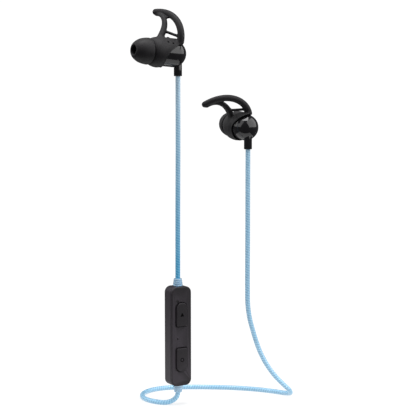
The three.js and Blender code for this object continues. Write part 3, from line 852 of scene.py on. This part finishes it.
def add_ear_fins(material, frames):
    vertices, faces = surface_of(fin_field, (-6.5, -17.5, -9), (15.2, 9.5, 25), 0.25)
    for side, (_, _, sleeve) in frames.items():
        piece = add_mesh(f"{side}_fin", vertices, faces, sleeve, material, 60)
        finish_piece(piece, f"{side}_ear_fin", "silicone", f"{side}_ear_fin")


# ---------- earbud ----------
def ball_arc(radius, start, end, steps=40):
    """Points (along, radius) of an arc about the ball's middle, by degrees from the axis."""
    angles = [math.radians(start + (end - start) * i / steps) for i in range(steps + 1)]
    return [(radius * math.cos(a), radius * math.sin(a)) for a in angles]


def add_back_shell(side, bud, material):
    turn = SEAM_NORMAL.to_track_quat("X", "Z").to_matrix().to_4x4()
    edge = 89.0
    inner = BALL_RADIUS - SHELL_WALL
    profile = ball_arc(BALL_RADIUS, 0, edge)
    profile += [(0.03, BALL_RADIUS - 0.1), (-0.02, BALL_RADIUS - 0.28), (-0.02, inner)]
    profile += ball_arc(inner, edge, 0)
    profile[0], profile[-1] = (BALL_RADIUS, 0), (inner, 0)
    piece = add_turned(f"{side}_back", profile, bud @ turn, material, 128, 60)
    hole = rod_tool(bud, "z", STEM_RADIUS + 0.1, 8, (-STEM_OFFSET, 0, -7))
    combine(piece, "DIFFERENCE", hole, crease=30)
    finish_piece(piece, "headset", "gloss_black", f"{side}_back_shell")


def add_front_shell(side, bud, nozzle, material):
    turn = SEAM_NORMAL.to_track_quat("X", "Z").to_matrix().to_4x4()
    half = [(-0.22, 0), (-0.22, BALL_RADIUS - 0.28), (-0.26, BALL_RADIUS - 0.1)]
    half += ball_arc(BALL_RADIUS, 93.0, 180)
    half[-1] = (-BALL_RADIUS, 0)
    piece = add_turned(f"{side}_front", half, bud @ turn, material, 128, 60)
    neck = rounded_profile(
        [
            (0, 0, 0),
            (0, NECK_RADIUS, 0),
            (NECK_END, NECK_RADIUS, 1.2),
            (NOZZLE_START, NOZZLE_RADIUS + 0.5, 0.5),
            (NOZZLE_START, NOZZLE_RADIUS, 0),
            (NOZZLE_END - 1.7, NOZZLE_RADIUS, 0),
            (NOZZLE_END - 1.4, NOZZLE_RADIUS + 0.35, 0.1),
            (NOZZLE_END - 0.7, NOZZLE_RADIUS + 0.35, 0.15),
            (NOZZLE_END, NOZZLE_RADIUS - 0.05, 0.1),
            (NOZZLE_END, 0, 0),
        ]
    )
    bore = [
        (-2, 0),
        (-2, NECK_RADIUS - SHELL_WALL),
        (NECK_END - 0.4, NECK_RADIUS - SHELL_WALL),
        (NOZZLE_START - 0.8, NOZZLE_BORE),
        (NOZZLE_END - 1, NOZZLE_BORE),
        (NOZZLE_END - 1, 2),
        (NOZZLE_END + 1, 2),
        (NOZZLE_END + 1, 0),
    ]
    combine(piece, "UNION", add_turned("tool", neck, nozzle, None, 96))
    cavity = ball_arc(BALL_RADIUS - SHELL_WALL, 0, 180)
    cavity[0], cavity[-1] = (BALL_RADIUS - SHELL_WALL, 0), (SHELL_WALL - BALL_RADIUS, 0)
    tools = [
        add_turned("tool", cavity, bud, None, 96),
        add_turned("tool", bore, nozzle, None, 96),
        rod_tool(nozzle, "y", 0.42, 3, (1.6, -6.2, -2.6), 32),  # a small hole in its side
    ]
    combine(piece, "DIFFERENCE", *tools, crease=30)
    finish_piece(piece, "headset", "gloss_black", f"{side}_front_shell")


def add_stem(side, bud, material):
    """The strain relief: a straight glossy sleeve, open at the bottom where the cord runs in."""
    cord = CORD_DIAMETER / 2 + 0.08
    hole_end = STEM_BOTTOM + 2.5
    corners = [
        (STEM_TOP, 0, 0),
        (STEM_TOP, STEM_RADIUS, 0.2),
        (STEM_BOTTOM, STEM_RADIUS, 0.3),
        (STEM_BOTTOM, cord, 0.12),
        (hole_end, cord, 0),
        (hole_end, 0, 0),
    ]
    place = bud @ Matrix.Translation((-STEM_OFFSET, 0, 0)) @ Matrix.Rotation(-math.pi / 2, 4, "Y")
    piece = add_turned(f"{side}_stem", rounded_profile(corners), place, material, 64, 50)
    finish_piece(piece, "headset", "gloss_black", f"{side}_strain_relief")


def add_ear_tip(side, nozzle, material):
    """The mushroom tip: a thin skirt over a core tube, with a rounded mouth."""
    outside = smooth_points(
        [
            (TIP_MOUTH - 0.45, 2.35),
            (TIP_MOUTH - 0.08, 2.55),
            (TIP_MOUTH, 2.9),
            (22.85, 3.85),
            (21.4, 5.05),
            (19.5, 6.0),
            (17.4, 6.52),
            (15.6, 6.72),
            (14.85, 6.66),
            (TIP_BACK, 6.42),
            (14.75, 6.16),
            (17, 5.92),
            (19, 5.25),
            (20.3, 4.4),
            (20.1, 3.95),
            (19.4, 3.8),
            (TIP_BACK + 0.2, 3.8),
            (TIP_BACK, 3.6),
            (TIP_BACK, 3.3),
            (TIP_BACK + 0.2, 3.1),
            (NOZZLE_END + 0.3, 3.1),
            (NOZZLE_END + 0.7, 2.9),
            (NOZZLE_END + 0.8, 2.4),
            (NOZZLE_END + 1.2, 2.35),
        ],
        5,
    )
    piece = add_turned(f"{side}_tip", [tuple(p) for p in outside], nozzle, material, 96, 60)
    finish_piece(piece, f"{side}_ear_tip", "silicone", f"{side}_ear_tip")


# ---------- control box: its frame has the front on -Y and the bottom at height 0 ----------
FRONT = -BOX_DEPTH / 2
BACK = BOX_DEPTH / 2
COVER_BACK = FRONT + COVER_THICKNESS
BOX_MIDDLE = (0, BOX_HEIGHT / 2)
FLANGE_THICKNESS = 0.5
FLANGE_REACH = 0.7
BUTTONS = {"upper": (37.65, True), "lower": (13.85, False)}  # height, round end up
LIGHT_HOLE = ((-2.3, 44.6), 0.7)  # its place in x and z, and its radius
MICROPHONE_HOLE = ((-2.3, 25), 0.4)
PORT_HEIGHT = 25.5
PORT_CENTRE_Y = 0.4
FLAP_LENGTH = 10.4
FLAP_WIDTH = 3.9
FLAP_THICKNESS = 0.9
FAR = 80


def box_outline(inset):
    return outline(BOX_WIDTH, BOX_HEIGHT, [BOX_CORNER] * 4, inset)


def button_outline(round_top):
    """The D outline of a button, as a function of its inset."""
    arc, square = BUTTON_WIDTH / 2 - 0.2, 0.8
    radii = [square, square, arc, arc] if round_top else [arc, arc, square, square]
    return lambda inset: outline(BUTTON_WIDTH, BUTTON_LENGTH, radii, inset, 12)


def add_front_cover(material):
    rows = rim_rows(FRONT, COVER_BACK - 0.1, BOX_RIM) + [(COVER_BACK, 0.1)]
    piece = add_loft("front_shell_of_box", box_outline, rows, BOX, material, BOX_MIDDLE)
    tools = []
    for height, round_top in BUTTONS.values():
        hole = [(FRONT - 1, -0.45), (FRONT, -0.45), (FRONT + 0.15, -GAP), (COVER_BACK + 1, -GAP)]
        tools.append(add_loft("tool", button_outline(round_top), hole, BOX, None, (0, height)))
    for (x, z), radius in (LIGHT_HOLE, MICROPHONE_HOLE):
        tools.append(rod_tool(BOX, "y", radius, 4, (x, COVER_BACK, z), 40))
    combine(piece, "DIFFERENCE", *tools, crease=25)
    finish_piece(piece, "headset", "box_plastic", "front_cover")


def add_rear_cover(material):
    start = COVER_BACK + 0.2
    rows = rim_rows(BACK, start + 0.1, BOX_RIM) + [(start, 0.15)]
    piece = add_loft("rear_shell_of_box", box_outline, rows, BOX, material, BOX_MIDDLE)
    hollow = [(FRONT - 1, BOX_WALL), (BACK - BOX_WALL, BOX_WALL)]
    tools = [
        add_loft("tool", box_outline, hollow, BOX, None, BOX_MIDDLE),
        rod_tool(BOX, "z", RELIEF_NECK + GAP, FAR, (0, 0, BOX_HEIGHT / 2)),
        flap_solid("tool", 0.0, 4, None),
    ]
    combine(piece, "DIFFERENCE", *tools, crease=25)
    finish_piece(piece, "headset", "box_plastic", "rear_cover")


def flap_solid(name, shrink, depth, material):
    """A rounded slab in the +X side, `shrink` smaller all round than the port's recess."""
    sideways = BOX @ Matrix.Translation((0, PORT_CENTRE_Y, PORT_HEIGHT))
    sideways = sideways @ Matrix.Rotation(-math.pi / 2, 4, "Z")

    def shape(inset):
        return outline(FLAP_WIDTH, FLAP_LENGTH, [0.9] * 4, inset + shrink)

    side = BOX_WIDTH / 2
    rows = [(side - depth, 0), (side - 0.2, 0), (side - 0.06, 0.06), (side, 0.2)]
    if not shrink:
        rows = [(side - depth, 0), (side + 1, 0)]
    return add_loft(name, shape, rows, sideways @ Matrix.Scale(-1, 4, (1, 0, 0)), material)


def add_button(name, height, round_top, material, painted_recess_shade):
    flange = COVER_BACK + GAP
    rows = rim_rows(FRONT - BUTTON_RISE, flange - 0.02, 0.35, 5)
    rows += [(flange, -FLANGE_REACH), (flange + FLANGE_THICKNESS, -FLANGE_REACH)]
    shape = button_outline(round_top)
    piece = add_loft(f"{name}_cap", shape, rows, BOX, material, (0, height), 40)
    depth, outer, inner = 0.3, 1.05, 0.6
    face = FRONT - BUTTON_RISE
    if round_top:  # a triangle that points up

        def triangle(inset):
            return [(-outer, -0.9 * outer), (outer, -0.9 * outer), (0, outer)]

        rows = [(face - 1, 0), (face + depth, 0)]
        mark = add_loft("tool", triangle, rows, BOX, painted_recess_shade, (0, height))
    else:  # a ring
        middle = BOX @ Matrix.Translation((0, face, height))
        middle = middle @ Matrix.Rotation(-math.pi / 2, 4, "Z")  # +X out of the front
        profile = [(-depth, inner), (-depth, outer), (1, outer), (1, inner)]
        mark = add_turned("tool", profile, middle, painted_recess_shade, 48)
    # the mark's recess is painted near black, as painted shade
    combine(piece, "DIFFERENCE", mark, crease=30, keep_tool_material=True)
    finish_piece(piece, f"{name}_button", "box_plastic", f"{name}_button")


def add_port_cover(material):
    piece = flap_solid("port_flap", GAP, FLAP_THICKNESS, material)
    finish_piece(piece, "port_cover", "silicone", "port_cover")


def add_box_relief(name, direction, material, core):
    """A clear ribbed sleeve that tapers away from the box, with the cord seen inside it."""
    cord = CORD_DIAMETER / 2 + 0.1
    corners = [
        (-BOX_WALL - 0.9, cord, 0),
        (-BOX_WALL - 0.9, 2.4, 0.1),
        (-BOX_WALL - GAP, 2.4, 0.1),
        (-BOX_WALL - GAP, RELIEF_NECK, 0),
        (0.12, RELIEF_NECK, 0),
        (0.12, 2.6, 0.12),
    ]
    ribs = 3
    pitch = (RELIEF_LENGTH - 0.75) / ribs
    for rib in range(ribs):
        start = 0.75 + rib * pitch
        radius = 2.56 - 0.14 * rib
        corners += [(start, radius, 0.1), (start, radius - 0.28, 0.06)]
        corners += [(start + 0.38, radius - 0.28, 0.06), (start + 0.38, radius - 0.1, 0.08)]
    corners += [(RELIEF_LENGTH, 2.1, 0.25), (RELIEF_LENGTH, cord, 0)]
    place = BOX @ Matrix.Translation((0, 0, BOX_HEIGHT if direction > 0 else 0))
    place = place @ Matrix.Rotation(-direction * math.pi / 2, 4, "Y")
    piece = add_turned(name, rounded_profile(corners, 3), place, material, 64, 40)
    finish_piece(piece, "headset", "relief_plastic", f"{name}_strain_relief")
    reach = RELIEF_LENGTH - 1.0
    path = [(x, 0, 0) for x in np.linspace(-BOX_WALL - 0.8, reach, 12)]
    inside = sweep(f"{name}_cord_core", path, CORD_DIAMETER / 2 - 0.02, place, core)
    finish_piece(inside, "headset", "cord_jacket")


# ---------- the whole set ----------
def dress_cad_nodes(materials):
    """The nodes whose shape is right as it is get their material."""
    by_node = {
        "status_light": "lens",
        "microphone": "steel",
        "charging_socket": "steel",
        "circuit_board": "board",
        "radio_chip": "chip",
        "battery": "pouch",
        "upper_switch": "steel",
        "lower_switch": "steel",
    }
    for side in ("left", "right"):
        by_node[f"{side}_nozzle_mesh"] = "perforated"
        by_node[f"{side}_driver_frame"] = "steel"
        by_node[f"{side}_driver_magnet"] = "steel"
        by_node[f"{side}_diaphragm"] = "film"
    for node, look in by_node.items():
        mesh = frame["nodes"][node].data
        mesh.materials.clear()
        mesh.materials.append(materials[look])


def build():
    materials = {
        "gloss": gloss_black(),
        "silicone": silicone(),
        "box": box_plastic(),
        "left_cord": cord_jacket("left_cord_jacket", 0, 0.009),
        "right_cord": cord_jacket("right_cord_jacket", 0.5, -0.0007),
        "relief": relief_plastic(),
        "steel": steel(),
        "perforated": perforated_steel(),
        "board": moulded("board", (0.012, 0.09, 0.03), (0.02, 0.14, 0.05), 0.35),
        "chip": moulded("chip", (0.006, 0.006, 0.007), (0.014, 0.014, 0.015), 0.5, 0.1),
        "pouch": moulded("pouch", (0.5, 0.5, 0.52), (0.66, 0.66, 0.68), 0.3, 0.5, 0.8),
        "film": moulded("film", (0.5, 0.38, 0.16), (0.66, 0.52, 0.26), 0.3),
        "lens": moulded("lens", (0.002, 0.002, 0.003), (0.004, 0.004, 0.005), 0.4),
        # painted shade: near black, with little gloss, for the recesses of the button marks
        "painted_recess_shade": moulded(
            "painted_recess_shade", (0.0006, 0.0006, 0.0007), (0.0012, 0.0012, 0.0013), 0.7, specular=0.05
        ),
        "core": moulded("cord_core", srgb(140, 196, 234), srgb(152, 206, 240), 0.3, 1.2),
    }
    add_camera()
    add_cord("left", LEFT_CORD, materials["left_cord"])
    add_cord("right", RIGHT_CORD, materials["right_cord"])
    add_world()
    add_floor()
    add_softbox("softbox_left", (-0.8, -0.1, 0.6), 1.3, 0.8, 1.35)
    add_softbox("softbox_right", (0.8, -0.25, 0.55), 1.2, 0.8, 2.2)
    add_softbox("softbox_top", (0, -0.1, 1), 0.5, 0.5, 6.5)

    frames = {side: bud_frames(side) for side in ("left", "right")}
    for side, (bud, nozzle, _) in frames.items():
        add_back_shell(side, bud, materials["gloss"])
        add_front_shell(side, bud, nozzle, materials["gloss"])
        add_stem(side, bud, materials["gloss"])
        add_ear_tip(side, nozzle, materials["silicone"])
    add_ear_fins(materials["silicone"], frames)

    add_front_cover(materials["box"])
    add_rear_cover(materials["box"])
    for name, (height, round_top) in BUTTONS.items():
        add_button(name, height, round_top, materials["box"], materials["painted_recess_shade"])
    add_port_cover(materials["silicone"])
    add_box_relief("top", 1, materials["relief"], materials["core"])
    add_box_relief("bottom", -1, materials["relief"], materials["core"])
    dress_cad_nodes(materials)
    bpy.context.scene.view_settings.view_transform = "Standard"


build()
